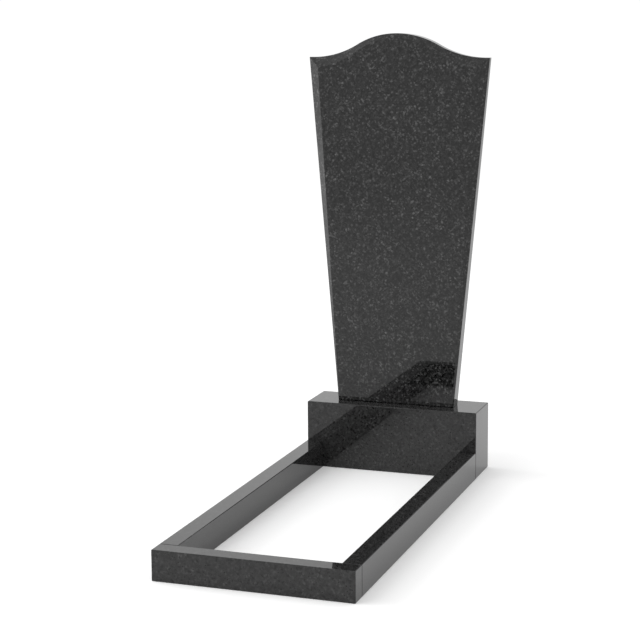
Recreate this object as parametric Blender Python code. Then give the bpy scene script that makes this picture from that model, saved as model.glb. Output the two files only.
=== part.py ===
"""A granite headstone: a bevelled stele on a plinth block, behind a low bed framed by square-cut rails.

Metres, +Z up. The front of the bed faces -Y, and the origin is on the ground under the middle of the whole.
"""
import math

import bmesh
import bpy
from mathutils import Vector
from mathutils.geometry import intersect_line_plane

# The bed, measured outside
BED_WIDTH = 0.525
BED_LENGTH = 1.13           # from the front rail's face to the stand's face
RAIL_HEIGHT = 0.08
RAIL_THICKNESS = 0.05

# The stand, a block that closes the back of the bed
STAND_DEPTH = 0.15
STAND_HEIGHT = 0.20

# The stele's outline, with heights above its seat
STELE_FOOT_WIDTH = 0.36
STELE_TOP_WIDTH = 0.55
STELE_SHOULDER_HEIGHT = 1.03
STELE_THICKNESS = 0.05
STELE_SETBACK = 0.05        # the ledge of the stand that shows in front of it
DOME_RISE = 0.07            # of the dome over the shoulders
DOME_WIDTH = 0.244          # between the two points where its curve turns hollow
SHOULDER_FLAT = 0.012       # level run at each top corner

# The bevel round the stele's front: wide at the top corners, running out at the foot
BEVEL_CORNER_WIDTH = 0.036
BEVEL_CORNER_DROP = 0.030
BEVEL_CORNER_DEPTH = 0.030
BEVEL_CROWN_DROP = 0.0135
BEVEL_CROWN_DEPTH = 0.010
BEVEL_FOOT_WIDTH = 0.0024

ARRIS = 0.002               # the edge taken off every sawn corner
JOINT = 0.0003              # the joint between two neighbouring stones
TOP_STEPS = 40              # steps along each half of the stele's top edge

GRANITE = (0.024, 0.025, 0.027, 1.0)
POLISH_ROUGHNESS = 0.12

FRONT = -(BED_LENGTH + STAND_DEPTH) / 2
STAND_FRONT = FRONT + BED_LENGTH
SIDE = BED_WIDTH / 2


def clear_scene():
    for old in list(bpy.data.objects):
        bpy.data.objects.remove(old)


def granite(name):
    """Polished dark granite, one material for each stone."""
    material = bpy.data.materials.new(name)
    material.use_nodes = True
    shader = material.node_tree.nodes["Principled BSDF"]
    shader.inputs["Base Color"].default_value = GRANITE
    shader.inputs["Roughness"].default_value = POLISH_ROUGHNESS
    shader.inputs["Metallic"].default_value = 0.0
    material.diffuse_color = GRANITE
    return material


def add_object(name, mesh):
    piece = bpy.data.objects.new(name, mesh)
    piece.data.materials.append(granite(name + " granite"))
    bpy.context.collection.objects.link(piece)
    return piece


def block(name, low, high):
    """A square block between two corners, placed by its centre, with its arrises taken off."""
    low, high = Vector(low), Vector(high)
    bm = bmesh.new()
    bmesh.ops.create_cube(bm, size=1.0)
    bmesh.ops.scale(bm, vec=high - low, verts=bm.verts)
    mesh = bpy.data.meshes.new(name)
    bm.to_mesh(mesh)
    bm.free()
    piece = add_object(name, mesh)
    piece.location = (low + high) / 2
    arris = piece.modifiers.new("arris", "BEVEL")
    arris.width = ARRIS
    arris.segments = 1
    arris.limit_method = "NONE"
    return piece


def top_edge_height(x):
    """Height of the stele's top edge at x from its axis: a dome, a hollow shoulder, a level run.

    The dome and the shoulder are two arcs that turn through the same angle and meet on one tangent.
    """
    x = abs(x)
    run = STELE_TOP_WIDTH / 2 - SHOULDER_FLAT
    turn = 2 * math.atan(DOME_RISE / run)
    dome_half = DOME_WIDTH / 2
    dome_radius = dome_half / math.sin(turn)
    shoulder_radius = (run - dome_half) / math.sin(turn)
    if x <= dome_half:
        crown = STELE_SHOULDER_HEIGHT + DOME_RISE
        return crown - dome_radius + math.sqrt(dome_radius ** 2 - x ** 2)
    if x < run:
        return STELE_SHOULDER_HEIGHT + shoulder_radius - math.sqrt(shoulder_radius ** 2 - (run - x) ** 2)
    return STELE_SHOULDER_HEIGHT


def from_crown(crown, corner, size):
    """A bevel size between the crown (0) and the top corner (1), level where it starts and ends."""
    return crown + (corner - crown) * size * size * (3 - 2 * size)


def stele_rings():
    """The stele's four outlines, from the flat front panel to the back, as lists of matching points.

    Each runs from the left foot over the top to the right foot, with Y counted from the front panel.
    """
    top_half = STELE_TOP_WIDTH / 2
    foot_half = STELE_FOOT_WIDTH / 2
    panel_half = top_half - BEVEL_CORNER_WIDTH
    shares = [step / TOP_STEPS for step in range(-TOP_STEPS, TOP_STEPS + 1)]

    panel, bevel, back_edge, back = [], [], [], []
    for share in shares:
        size = abs(share)
        x = share * top_half
        z = top_edge_height(x)
        panel_x = share * panel_half
        panel_z = top_edge_height(panel_x) - from_crown(BEVEL_CROWN_DROP, BEVEL_CORNER_DROP, size)
        panel.append(Vector((panel_x, 0.0, panel_z)))
        bevel.append(Vector((x, from_crown(BEVEL_CROWN_DEPTH, BEVEL_CORNER_DEPTH, size), z)))
        back_edge.append(Vector((x, STELE_THICKNESS - ARRIS, z)))
        back.append(Vector((share * (top_half - ARRIS), STELE_THICKNESS, z - ARRIS)))

    # The side bevel is one flat cut, so its depth at the foot follows from its three other corners
    panel_foot = Vector((foot_half - BEVEL_FOOT_WIDTH, 0.0, 0.0))
    cut = (panel[-1] - panel_foot).cross(bevel[-1] - panel_foot)
    foot = Vector((foot_half, 0.0, 0.0))
    bevel_foot = intersect_line_plane(foot, foot + Vector((0.0, 1.0, 0.0)), panel_foot, cut)

    feet = (
        (panel, panel_foot),
        (bevel, bevel_foot),
        (back_edge, Vector((foot_half, STELE_THICKNESS - ARRIS, 0.0))),
        (back, Vector((foot_half - ARRIS, STELE_THICKNESS, 0.0))),
    )
    for ring, right in feet:
        ring.insert(0, Vector((-right.x, right.y, right.z)))
        ring.append(right)
    return panel, bevel, back_edge, back


def stele(name, seat):
    """The upright slab: its outlines are bridged one to the next, and the first and last are closed."""
    bm = bmesh.new()
    loops = [[bm.verts.new(point) for point in ring] for ring in stele_rings()]
    for near, far in zip(loops, loops[1:]):
        for i in range(len(near)):
            j = (i + 1) % len(near)
            bm.faces.new((near[i], near[j], far[j], far[i]))
    bm.faces.new(loops[0])
    bm.faces.new(loops[-1])
    bmesh.ops.recalc_face_normals(bm, faces=bm.faces)
    mesh = bpy.data.meshes.new(name)
    bm.to_mesh(mesh)
    bm.free()
    mesh.shade_smooth()
    mesh.set_sharp_from_angle(angle=math.radians(20))
    piece = add_object(name, mesh)
    piece.location = seat
    return piece


def build():
    clear_scene()

    rail_back = FRONT + RAIL_THICKNESS
    block("front_rail", (-SIDE, FRONT, 0.0), (SIDE, rail_back, RAIL_HEIGHT))
    for name, outer, inner in (
        ("left_rail", -SIDE, -SIDE + RAIL_THICKNESS),
        ("right_rail", SIDE, SIDE - RAIL_THICKNESS),
    ):
        block(
            name,
            (min(outer, inner), rail_back + JOINT, 0.0),
            (max(outer, inner), STAND_FRONT - JOINT, RAIL_HEIGHT),
        )
    block("stand", (-SIDE, STAND_FRONT, 0.0), (SIDE, STAND_FRONT + STAND_DEPTH, STAND_HEIGHT))
    stele("stele", (0.0, STAND_FRONT + STELE_SETBACK, STAND_HEIGHT + JOINT))


build()
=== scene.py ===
# %% [markdown]
# # A polished granite headstone
#
# The object is a memorial in five stones: an upright slab, called the stele, the stand block under it,
# and three rails that frame a low bed in front. The measured solids come from the frame. This lesson
# makes the stones again with soft arrises and a fine bevel, gives them their polish, and sets up the
# studio in which they are seen.

import math

import bmesh
import bpy
from mathutils import Matrix, Vector


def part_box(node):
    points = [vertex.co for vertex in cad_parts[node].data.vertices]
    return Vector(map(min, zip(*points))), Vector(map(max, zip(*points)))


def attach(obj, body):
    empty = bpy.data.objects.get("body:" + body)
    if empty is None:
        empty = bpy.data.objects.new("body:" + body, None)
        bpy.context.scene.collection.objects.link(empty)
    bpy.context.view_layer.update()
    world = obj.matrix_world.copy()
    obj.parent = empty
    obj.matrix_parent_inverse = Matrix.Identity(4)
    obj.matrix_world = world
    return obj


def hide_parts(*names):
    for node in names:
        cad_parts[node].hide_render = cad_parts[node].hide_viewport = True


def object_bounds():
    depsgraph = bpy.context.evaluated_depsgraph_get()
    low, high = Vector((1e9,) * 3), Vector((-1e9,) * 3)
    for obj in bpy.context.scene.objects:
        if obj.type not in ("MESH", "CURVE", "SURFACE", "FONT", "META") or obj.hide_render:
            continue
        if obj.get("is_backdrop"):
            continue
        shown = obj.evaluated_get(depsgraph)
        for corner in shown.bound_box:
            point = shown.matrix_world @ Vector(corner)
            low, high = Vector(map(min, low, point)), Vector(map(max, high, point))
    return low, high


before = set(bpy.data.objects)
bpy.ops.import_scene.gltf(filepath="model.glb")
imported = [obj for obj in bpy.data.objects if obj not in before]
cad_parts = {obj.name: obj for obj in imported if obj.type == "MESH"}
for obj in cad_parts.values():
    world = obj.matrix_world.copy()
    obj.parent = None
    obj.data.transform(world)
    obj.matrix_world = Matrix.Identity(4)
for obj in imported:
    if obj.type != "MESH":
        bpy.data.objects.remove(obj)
cad_low, cad_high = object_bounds()
print("stones in the frame:", ", ".join(sorted(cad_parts)))
print("size of the frame:", [round(size, 4) for size in cad_high - cad_low])

# %% [markdown]
# ## Working by hand, in code
#
# Every operator acts on what is selected. So a stone starts with nothing selected, and inside edit mode
# the points to move are picked by their place. These few helpers do the picking.

# %% Helpers for picking points
def start_clean():
    """Leaves edit mode and selects nothing."""
    if bpy.context.object and bpy.context.object.mode != "OBJECT":
        bpy.ops.object.mode_set(mode="OBJECT")
    bpy.ops.object.select_all(action="DESELECT")


def points_in_hand():
    """The vertices of the mesh that is open in edit mode."""
    mesh = bmesh.from_edit_mesh(bpy.context.object.data)
    mesh.verts.ensure_lookup_table()
    return mesh, mesh.verts


def pick(numbers):
    """Selects the vertices with these numbers, and nothing else."""
    wanted = set(numbers)
    mesh, points = points_in_hand()
    for point in points:
        point.select = point.index in wanted
    mesh.select_flush_mode()
    bmesh.update_edit_mesh(bpy.context.object.data)


def move(numbers, by):
    """Picks these vertices and moves them."""
    pick(numbers)
    bpy.ops.transform.translate(value=by)


def widen(numbers, share):
    """Picks these vertices and spreads them to this share of their distance from the stone's axis."""
    pick(numbers)
    bpy.ops.transform.resize(value=(share, 1.0, 1.0), center_override=(0.0, 0.0, 0.0))


# %% [markdown]
# ## The sawn blocks
#
# The stand and the rails are square-sawn blocks. A mason takes the sharpness off each arris with a stone,
# which leaves an edge of 2 to 3 mm that catches the light. Each block is a cube set to the size of its
# solid in the frame, and its edges are bevelled in three steps so that they look rounded.
#
# The light must turn on the arris alone, or the large faces would mirror like bent tin. So the directions
# at the corners of each face are weighted by the size of the faces that meet there.

# %% Make the stand and the rails
ARRIS = 0.002
STAND_ARRIS = 0.003


def keep_flats_flat(stone, angle):
    """Smooths the turns below this angle, and leaves the large faces flat."""
    bpy.ops.object.shade_smooth_by_angle(angle=math.radians(angle))
    flat = stone.modifiers.new("flat faces", "WEIGHTED_NORMAL")
    flat.weight = 100
    flat.keep_sharp = True
    bpy.ops.object.modifier_apply(modifier=flat.name)


def sawn_block(name, node, arris):
    """A block the size of a solid in the frame, with rounded arrises."""
    low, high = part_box(node)
    low, high = Vector(low), Vector(high)
    start_clean()
    bpy.ops.mesh.primitive_cube_add(size=1.0, location=(low + high) / 2, scale=high - low)
    block = bpy.context.object
    block.name = name
    bpy.ops.object.transform_apply(location=True, rotation=True, scale=True)
    bpy.ops.object.mode_set(mode="EDIT")
    bpy.ops.mesh.bevel(offset=arris, offset_type="OFFSET", segments=3, profile=0.5, affect="EDGES")
    bpy.ops.object.mode_set(mode="OBJECT")
    keep_flats_flat(block, 35)
    print(name, "is", [round(size * 1000) for size in high - low], "mm")
    return block


stand = sawn_block("stand_block", "stand", STAND_ARRIS)
front_rail = sawn_block("front_rail_stone", "front_rail", ARRIS)
left_rail = sawn_block("left_rail_stone", "left_rail", ARRIS)
right_rail = sawn_block("right_rail_stone", "right_rail", ARRIS)

# %% [markdown]
# ## The stele's outline
#
# The slab widens towards its top, where a dome stands between two hollow shoulders. A mason draws such
# a top with a pair of compasses: two arcs that turn through the same angle meet on one tangent, so the
# curve has no kink. The function gives its height above the foot at any distance from the axis.

# %% Work out the stele's top line
stele_low, stele_high = (Vector(corner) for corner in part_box("stele"))
SEAT = stele_low.z
FACE = stele_low.y
THICKNESS = stele_high.y - stele_low.y
HALF_TOP = (stele_high.x - stele_low.x) / 2
HALF_FOOT = 0.18
DOME_RISE = 0.07
SHOULDER = stele_high.z - stele_low.z - DOME_RISE
DOME_HALF = 0.122
LEVEL_RUN = 0.012

TURN = 2 * math.atan(DOME_RISE / (HALF_TOP - LEVEL_RUN))
DOME_RADIUS = DOME_HALF / math.sin(TURN)
HOLLOW_RADIUS = (HALF_TOP - LEVEL_RUN - DOME_HALF) / math.sin(TURN)


def top_line(x):
    """Height of the stele's top at x from its axis."""
    x = abs(x)
    run = HALF_TOP - LEVEL_RUN
    if x <= DOME_HALF:
        return SHOULDER + DOME_RISE - DOME_RADIUS + math.sqrt(DOME_RADIUS ** 2 - x ** 2)
    if x < run:
        return SHOULDER + HOLLOW_RADIUS - math.sqrt(HOLLOW_RADIUS ** 2 - (run - x) ** 2)
    return SHOULDER


print("shoulders at", round(SHOULDER, 3), "m, dome radius", round(DOME_RADIUS, 3), "m")

# %% [markdown]
# ## The stele's front panel
#
# The flat front is a grid one face high and many faces wide, stood upright. Its two rows of points are
# spread to the width of the foot and of the top, and then each pair of points, one left and one right of
# the axis, is lifted to the top line less the width of the bevel there.

# %% Make the front panel
COLUMNS = 160
BEVEL_WIDTH = 0.036
BEVEL_DROP = (0.0135, 0.030)
BEVEL_DEPTH = (0.010, 0.030)
FOOT_BEVEL = 0.0024
HALF_PANEL = HALF_TOP - BEVEL_WIDTH


def between(crown_and_corner, share):
    """A bevel size between the crown (0) and the top corner (1), level where it starts and ends."""
    crown, corner = crown_and_corner
    return crown + (corner - crown) * share * share * (3 - 2 * share)


def two_rows():
    """The selected points as a foot row and a top row of vertex numbers, each from left to right."""
    points = [point for point in points_in_hand()[1] if point.select]
    middle = SEAT + SHOULDER / 2
    rows = []
    for above in (False, True):
        row = [point for point in points if (point.co.z > middle) == above]
        rows.append([point.index for point in sorted(row, key=lambda point: point.co.x)])
    return rows


def lift_in_pairs(row, how_far):
    """Moves the points of a row in pairs, left and right of the axis, each by how_far(share)."""
    last = len(row) - 1
    for step in range(last // 2 + 1):
        share = abs(2 * step / last - 1)
        move((row[step], row[last - step]), how_far(share))


start_clean()
bpy.ops.mesh.primitive_grid_add(
    x_subdivisions=COLUMNS,
    y_subdivisions=1,
    size=1.0,
    location=(0.0, FACE, SEAT + SHOULDER / 2),
    rotation=(math.radians(90), 0.0, 0.0),
)
stele = bpy.context.object
stele.name = "stele_slab"
stele.scale = (2 * HALF_PANEL, SHOULDER, 1.0)
bpy.ops.object.transform_apply(location=True, rotation=True, scale=True)
print("grid of", len(stele.data.vertices), "points,", [round(size, 3) for size in stele.dimensions])

bpy.ops.object.mode_set(mode="EDIT")
bpy.ops.mesh.select_all(action="SELECT")
foot_row, top_row = two_rows()
widen(foot_row, (HALF_FOOT - FOOT_BEVEL) / HALF_PANEL)
lift_in_pairs(
    top_row,
    lambda share: (0.0, 0.0, top_line(share * HALF_PANEL) - SHOULDER - between(BEVEL_DROP, share)),
)

# %% [markdown]
# ## The bevel and the body of the slab
#
# The panel is extruded three times. The first new ring becomes the outer edge of the bevel, which is wide
# and deep at the top corners, narrow at the crown, and runs out at the foot. The side bevel is one flat
# cut, so its depth at the foot follows from the other three corners. The second ring is pressed flat
# near the back, and the third takes the arris off there. Last, the front edge of the foot is chamfered,
# which shows the joint over the stand as a thin dark line.

# %% Extrude the bevel, the sides and the back
corner_rise = top_line(HALF_TOP) - (top_line(HALF_PANEL) - between(BEVEL_DROP, 1.0))
panel_top = Vector((HALF_PANEL, 0.0, top_line(HALF_PANEL) - between(BEVEL_DROP, 1.0)))
panel_foot = Vector((HALF_FOOT - FOOT_BEVEL, 0.0, 0.0))
outer_top = Vector((HALF_TOP, between(BEVEL_DEPTH, 1.0), top_line(HALF_TOP)))
cut = (panel_top - panel_foot).cross(outer_top - panel_foot)
foot_depth = -cut.x * FOOT_BEVEL / cut.y

pick(foot_row + top_row)
bpy.ops.mesh.extrude_region_move()
foot_row, top_row = two_rows()
widen(foot_row, HALF_FOOT / (HALF_FOOT - FOOT_BEVEL))
widen(top_row, HALF_TOP / HALF_PANEL)
move(foot_row, (0.0, foot_depth, 0.0))
lift_in_pairs(
    top_row,
    lambda share: (
        0.0,
        between(BEVEL_DEPTH, share),
        top_line(share * HALF_TOP) - top_line(share * HALF_PANEL) + between(BEVEL_DROP, share),
    ),
)
print("the side bevel is", round(foot_depth * 1000, 1), "mm deep at the foot")

pick(foot_row + top_row)
bpy.ops.mesh.extrude_region_move()
foot_row, top_row = two_rows()
bpy.ops.transform.resize(value=(1.0, 0.0, 1.0), center_override=(0.0, FACE + THICKNESS - ARRIS, 0.0))

bpy.ops.mesh.extrude_region_move()
foot_row, top_row = two_rows()
bpy.ops.transform.translate(value=(0.0, ARRIS, 0.0))
widen(foot_row, (HALF_FOOT - ARRIS) / HALF_FOOT)
widen(top_row, (HALF_TOP - ARRIS) / HALF_TOP)
move(top_row, (0.0, 0.0, -ARRIS))

FOOT_CHAMFER = 0.0015
pick(
    point.index
    for point in points_in_hand()[1]
    if abs(point.co.y - FACE) < 0.00001 and abs(point.co.z - SEAT) < 0.00001
)
bpy.ops.mesh.bevel(offset=FOOT_CHAMFER, offset_type="OFFSET", segments=1, affect="EDGES")

bpy.ops.mesh.select_all(action="SELECT")
bpy.ops.mesh.normals_make_consistent(inside=False)
bpy.ops.object.mode_set(mode="OBJECT")

# %% [markdown]
# A polished edge is never razor sharp. A bevel of half a millimetre on the crisp edges alone gives each
# a thin line of light, and it is applied so that the slab is one plain mesh.

# %% Ease the stele's edges
EASED_EDGE = 0.0005

edge = stele.modifiers.new("eased edges", "BEVEL")
edge.width = EASED_EDGE
edge.segments = 2
edge.limit_method = "ANGLE"
edge.angle_limit = math.radians(15)
bpy.ops.object.modifier_apply(modifier=edge.name)
keep_flats_flat(stele, 25)
print("the stele has", len(stele.data.polygons), "faces,", [round(size, 4) for size in stele.dimensions])

# %% [markdown]
# ## Shader maths in plain expressions
#
# A granite is worked out with numbers that change over the stone. This small class wraps a socket of
# a material, so that sums, differences and products can be written as in arithmetic. One method adds
# any other node.

# %% A class for shader maths
class Wire:
    """A socket in a material. Arithmetic on it adds the Math nodes that work it out."""

    def __init__(self, material, socket=None):
        self.material = material
        self.socket = socket

    def node(self, kind, settings=None, sockets=None, out=0):
        """Adds a node: its settings first, then the values or wires of its sockets."""
        tree = self.material.node_tree
        node = tree.nodes.new(kind)
        for name, value in (settings or {}).items():
            setattr(node, name, value)
        for name, value in (sockets or {}).items():
            if isinstance(value, Wire):
                tree.links.new(value.socket, node.inputs[name])
            else:
                node.inputs[name].default_value = value
        return Wire(self.material, node.outputs[out])

    def math(self, operation, *values):
        return self.node("ShaderNodeMath", {"operation": operation}, dict(enumerate(values)))

    def __add__(self, other):
        return self.math("ADD", self, other)

    def __radd__(self, other):
        return self.math("ADD", other, self)

    def __sub__(self, other):
        return self.math("SUBTRACT", self, other)

    def __rsub__(self, other):
        return self.math("SUBTRACT", other, self)

    def __mul__(self, other):
        return self.math("MULTIPLY", self, other)

    def step(self, low, high):
        """0 below low, 1 above high, and smooth between them."""
        return self.node(
            "ShaderNodeMapRange",
            {"interpolation_type": "SMOOTHSTEP"},
            {"Value": self, "From Min": low, "From Max": high},
        )


# %% [markdown]
# ## The granite
#
# The stone is a dark, almost black granite. Close to, it is a ground of dark minerals with thin grey
# crystals, called laths, that lie in all directions. Each layer of laths starts from a Voronoi texture,
# which fills space with cells. A cell gives one crystal its middle, and its random colour gives the
# direction. Distance along that direction counts for less than distance across it, so a round spot
# is drawn out to a lath.

# %% Grow the crystals
def laths(place, cell, length, width):
    """One crystal in each cell: how much of it is here, and a random number for its tone."""
    cells = {"Vector": place, "Scale": 1.0 / cell, "Randomness": 1.0}
    middle = place.node("ShaderNodeTexVoronoi", {}, cells, out=2)
    colour = place.node("ShaderNodeTexVoronoi", {}, cells, out=1)
    centred = place.node("ShaderNodeVectorMath", {"operation": "SUBTRACT"}, {0: colour, 1: (0.5, 0.5, 0.5)})
    along = place.node("ShaderNodeVectorMath", {"operation": "NORMALIZE"}, {0: centred})
    away = place.node("ShaderNodeVectorMath", {"operation": "SUBTRACT"}, {0: place, 1: middle})
    run = place.node("ShaderNodeVectorMath", {"operation": "DOT_PRODUCT"}, {0: away, 1: along}, out=1)
    reach = place.node("ShaderNodeVectorMath", {"operation": "DOT_PRODUCT"}, {0: away, 1: away}, out=1)
    run = run * run
    spot = run * (4.0 / length ** 2) + (reach - run) * (4.0 / width ** 2)
    tone = place.node("ShaderNodeTexWhiteNoise", {"noise_dimensions": "3D"}, {"Vector": middle})
    return 1.0 - spot.step(0.3, 1.7), tone


def noise(place, size, detail):
    """A cloudy pattern whose patches are about this size."""
    return place.node(
        "ShaderNodeTexNoise", {}, {"Vector": place, "Scale": 1.0 / size, "Detail": detail, "Roughness": 0.6}
    )


# %% [markdown]
# ## Polished and sawn
#
# Where the stone is polished, it shows little of its own colour and mirrors its surroundings. A sawn
# face scatters more light, so it looks greyer, and the saw leaves faint level lines across it. Both read
# the same crystals, so the pattern runs on from one face to the next as it does in the block. The slab
# for the stele has paler crystals than the blocks for the bed. The pattern is turned out of line with
# the faces, because a noise cut along its own grid shows that grid.

# %% Make the granite materials
OUT_OF_LINE = (0.5, 0.7, 0.3)
RIPPLE_SCALE = 240.0
RIPPLE_REACH = 0.006
LONG_CRYSTALS = {"cell": 0.012, "length": 0.021, "width": 0.0060}
SHORT_CRYSTALS = {"cell": 0.0076, "length": 0.011, "width": 0.0046}
PATCH_SIZE = 0.011
BLACK_SIZE = 0.008
DRIFT_SIZE = 0.026
SAW_MARK_SPACING = 0.005
DRAWN_LEVEL = (0.01, 0.01, 1.0)
GRANITE_IOR = 1.42


def granite(name, polish, greyness, sparkle):
    """Dark granite: the roughness of its polish, the grey of its surface, and how pale its crystals are."""
    material = bpy.data.materials.new(name)
    material.use_nodes = True
    shader = material.node_tree.nodes["Principled BSDF"]
    straight = Wire(material).node("ShaderNodeTexCoord", out=3)
    place = straight.node("ShaderNodeMapping", {}, {"Vector": straight, "Rotation": OUT_OF_LINE})

    ripple = place.node(
        "ShaderNodeTexNoise", {}, {"Vector": place, "Scale": RIPPLE_SCALE, "Detail": 1.0}, out=1
    )
    grown = place.node(
        "ShaderNodeVectorMath", {"operation": "MULTIPLY_ADD"}, {0: ripple, 1: (RIPPLE_REACH,) * 3, 2: place}
    )
    long_laths, long_tone = laths(grown, **LONG_CRYSTALS)
    short_laths, short_tone = laths(grown, **SHORT_CRYSTALS)
    patches = noise(place, PATCH_SIZE, 2.0).step(0.38, 0.68)
    black = noise(place, BLACK_SIZE, 1.0).step(0.56, 0.70)
    drift = noise(place, DRIFT_SIZE, 2.0).step(0.38, 0.62)

    bright = long_laths * long_tone * 0.034 + short_laths * short_tone * 0.032
    tone = 0.0150 - 0.0106 * sparkle + patches * 0.008 + bright * (0.5 + drift) * sparkle
    tone = tone * (1.0 - black * 0.85)

    if greyness:
        drawn = straight.node(
            "ShaderNodeVectorMath", {"operation": "MULTIPLY"}, {0: straight, 1: DRAWN_LEVEL}
        )
        lines = noise(drawn, SAW_MARK_SPACING, 2.0)
        tone = (tone + greyness) * (0.85 + lines * 0.3)
        bump = straight.node("ShaderNodeBump", {}, {"Height": lines, "Strength": 0.3, "Distance": 0.0005})
        material.node_tree.links.new(bump.socket, shader.inputs["Normal"])

    material.node_tree.links.new(tone.socket, shader.inputs["Base Color"])
    shader.inputs["Roughness"].default_value = polish
    shader.inputs["IOR"].default_value = GRANITE_IOR
    return material


polished_slab = granite("polished slab granite", polish=0.02, greyness=0.0, sparkle=1.0)
polished_block = granite("polished block granite", polish=0.02, greyness=0.0, sparkle=0.45)
sawn = granite("sawn granite", polish=0.55, greyness=0.085, sparkle=1.4)
print("materials:", polished_slab.name, "and", polished_block.name, "and", sawn.name)

# %% [markdown]
# ## Which faces are polished
#
# The faces that are seen from the path are polished. The backs of the stele and of the stand are left
# as the saw leaves them, and so are all undersides.

# %% Give each face its finish
def finish_faces(stone, polished, sawn_back):
    """Polished all over, but sawn below, and sawn behind where the stone's back is hidden."""
    stone.data.materials.clear()
    stone.data.materials.append(polished)
    stone.data.materials.append(sawn)
    count = 0
    for face in stone.data.polygons:
        hidden = face.normal.z < -0.99 or (sawn_back and face.normal.y > 0.99)
        face.material_index = 1 if hidden else 0
        count += hidden
    print(stone.name, "has", count, "sawn faces of", len(stone.data.polygons))


finish_faces(stele, polished_slab, True)
finish_faces(stand, polished_block, True)
for rail in (front_rail, left_rail, right_rail):
    finish_faces(rail, polished_block, False)

# %% [markdown]
# ## Tie the stones to the frame
#
# Each new stone takes the place of the solid of the same name, and rides on the one body of the memorial.

# %% Replace the plain solids
for stone, node in (
    (stele, "stele"),
    (stand, "stand"),
    (front_rail, "front_rail"),
    (left_rail, "left_rail"),
    (right_rail, "right_rail"),
):
    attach(stone, "root")
    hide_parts(node)

# %% [markdown]
# ## The studio floor
#
# The memorial stands on a plain pale floor. A little light comes through it, as through the milky top of
# a light table, so that the shadows stay soft. Far out the floor turns clear, so that it passes into the
# white of the studio without a horizon.

# %% Lay the floor
def pale_floor(name, shade, glow, near, far):
    """A matt floor that glows a little, and turns clear between two distances from the middle."""
    material = bpy.data.materials.new(name)
    material.use_nodes = True
    tree = material.node_tree
    shader = tree.nodes["Principled BSDF"]
    shader.inputs["Base Color"].default_value = (shade, shade, shade, 1.0)
    shader.inputs["Roughness"].default_value = 0.9
    shader.inputs["Specular IOR Level"].default_value = 0.0
    shader.inputs["Emission Color"].default_value = (1.0, 1.0, 1.0, 1.0)
    shader.inputs["Emission Strength"].default_value = glow
    start = Wire(material)
    place = start.node("ShaderNodeTexCoord", out=3)
    distance = place.node("ShaderNodeVectorMath", {"operation": "LENGTH"}, {0: place}, out=1)
    clear = place.node("ShaderNodeBsdfTransparent")
    solid = Wire(material, shader.outputs[0])
    mix = place.node("ShaderNodeMixShader", {}, {0: distance.step(near, far), 1: solid, 2: clear})
    tree.links.new(mix.socket, tree.nodes["Material Output"].inputs["Surface"])
    return material


FLOOR_RADIUS = 40.0
FLOOR_LEVEL = -0.0005

start_clean()
bpy.ops.mesh.primitive_circle_add(
    vertices=96, radius=FLOOR_RADIUS, fill_type="NGON", location=(0.0, 0.0, FLOOR_LEVEL)
)
floor = bpy.context.object
floor.name = "studio_floor"
floor.data.materials.append(pale_floor("pale floor", shade=0.80, glow=0.16, near=2.0, far=12.0))
floor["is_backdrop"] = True

# %% [markdown]
# ## Light
#
# The world is an even soft white. One large soft lamp high on the left gives the shadows their direction.
# A second one, lower and farther out, skims past the front and lights what faces left, so that the
# crystals show best in the left bevel. The lamps themselves aren't mirrored, so they leave no glare on
# the polish, which mirrors only the stones, the floor and the white of the studio.

# %% Set up the light
STUDIO_WHITE = 1.03

world = bpy.data.worlds.new("soft studio")
bpy.context.scene.world = world
world.use_nodes = True
background = world.node_tree.nodes["Background"]
background.inputs["Color"].default_value = (1.0, 1.0, 1.0, 1.0)
background.inputs["Strength"].default_value = STUDIO_WHITE


def soft_lamp(name, location, target, size, watts):
    """A square lamp that shines at a target and isn't mirrored."""
    start_clean()
    bpy.ops.object.light_add(type="AREA", location=location)
    lamp = bpy.context.object
    lamp.name = name
    lamp.data.size = size
    lamp.data.energy = watts
    lamp.rotation_euler = (Vector(target) - lamp.location).to_track_quat("-Z", "Y").to_euler()
    lamp.visible_glossy = False
    print(name, "of", watts, "W at", location)


soft_lamp("high_lamp", (-3.0, -2.5, 5.0), target=(0.0, 0.2, 0.3), size=3.5, watts=60.0)
soft_lamp("side_lamp", (-7.6, -0.7, 3.2), target=(0.0, 0.5, 0.9), size=6.0, watts=420.0)

# %% [markdown]
# ## The camera
#
# The camera stands to the right of the grave and a little above the stele's top, with a long lens, and
# looks down at the middle of the bed.

# %% Place the camera
CAMERA_PLACE = (1.4957, -4.3693, 1.4036)
TURNED_LEFT = 19.4395
TIPPED_DOWN = 9.4191
ROLLED = -0.4043
LENS = 98.433

start_clean()
bpy.ops.object.camera_add(location=CAMERA_PLACE)
camera = bpy.context.object
camera.name = "camera"
turn = Matrix.Rotation(math.radians(TURNED_LEFT), 3, "Z")
tip = Matrix.Rotation(math.radians(90 - TIPPED_DOWN), 3, "X")
roll = Matrix.Rotation(math.radians(ROLLED), 3, "Z")
camera.rotation_euler = (turn @ tip @ roll).to_euler()
camera.data.sensor_width = 36.0
camera.data.lens = LENS
camera.data.shift_y = -0.05
camera.data.clip_end = 200.0
bpy.context.scene.camera = camera
bpy.context.scene.view_settings.view_transform = "Standard"
print("camera at", [round(value, 3) for value in camera.location])

# %% [markdown]
# ## Close the lesson
#
# The box of the finished stones is set against the box of the frame, and how far it grows on each side is
# printed.

# %% Print the growth and finish
new_low, new_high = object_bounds()
growth = (cad_low - new_low)[:] + (new_high - cad_high)[:]
print("grows by", [round(value * 1000, 2) for value in growth], "mm")
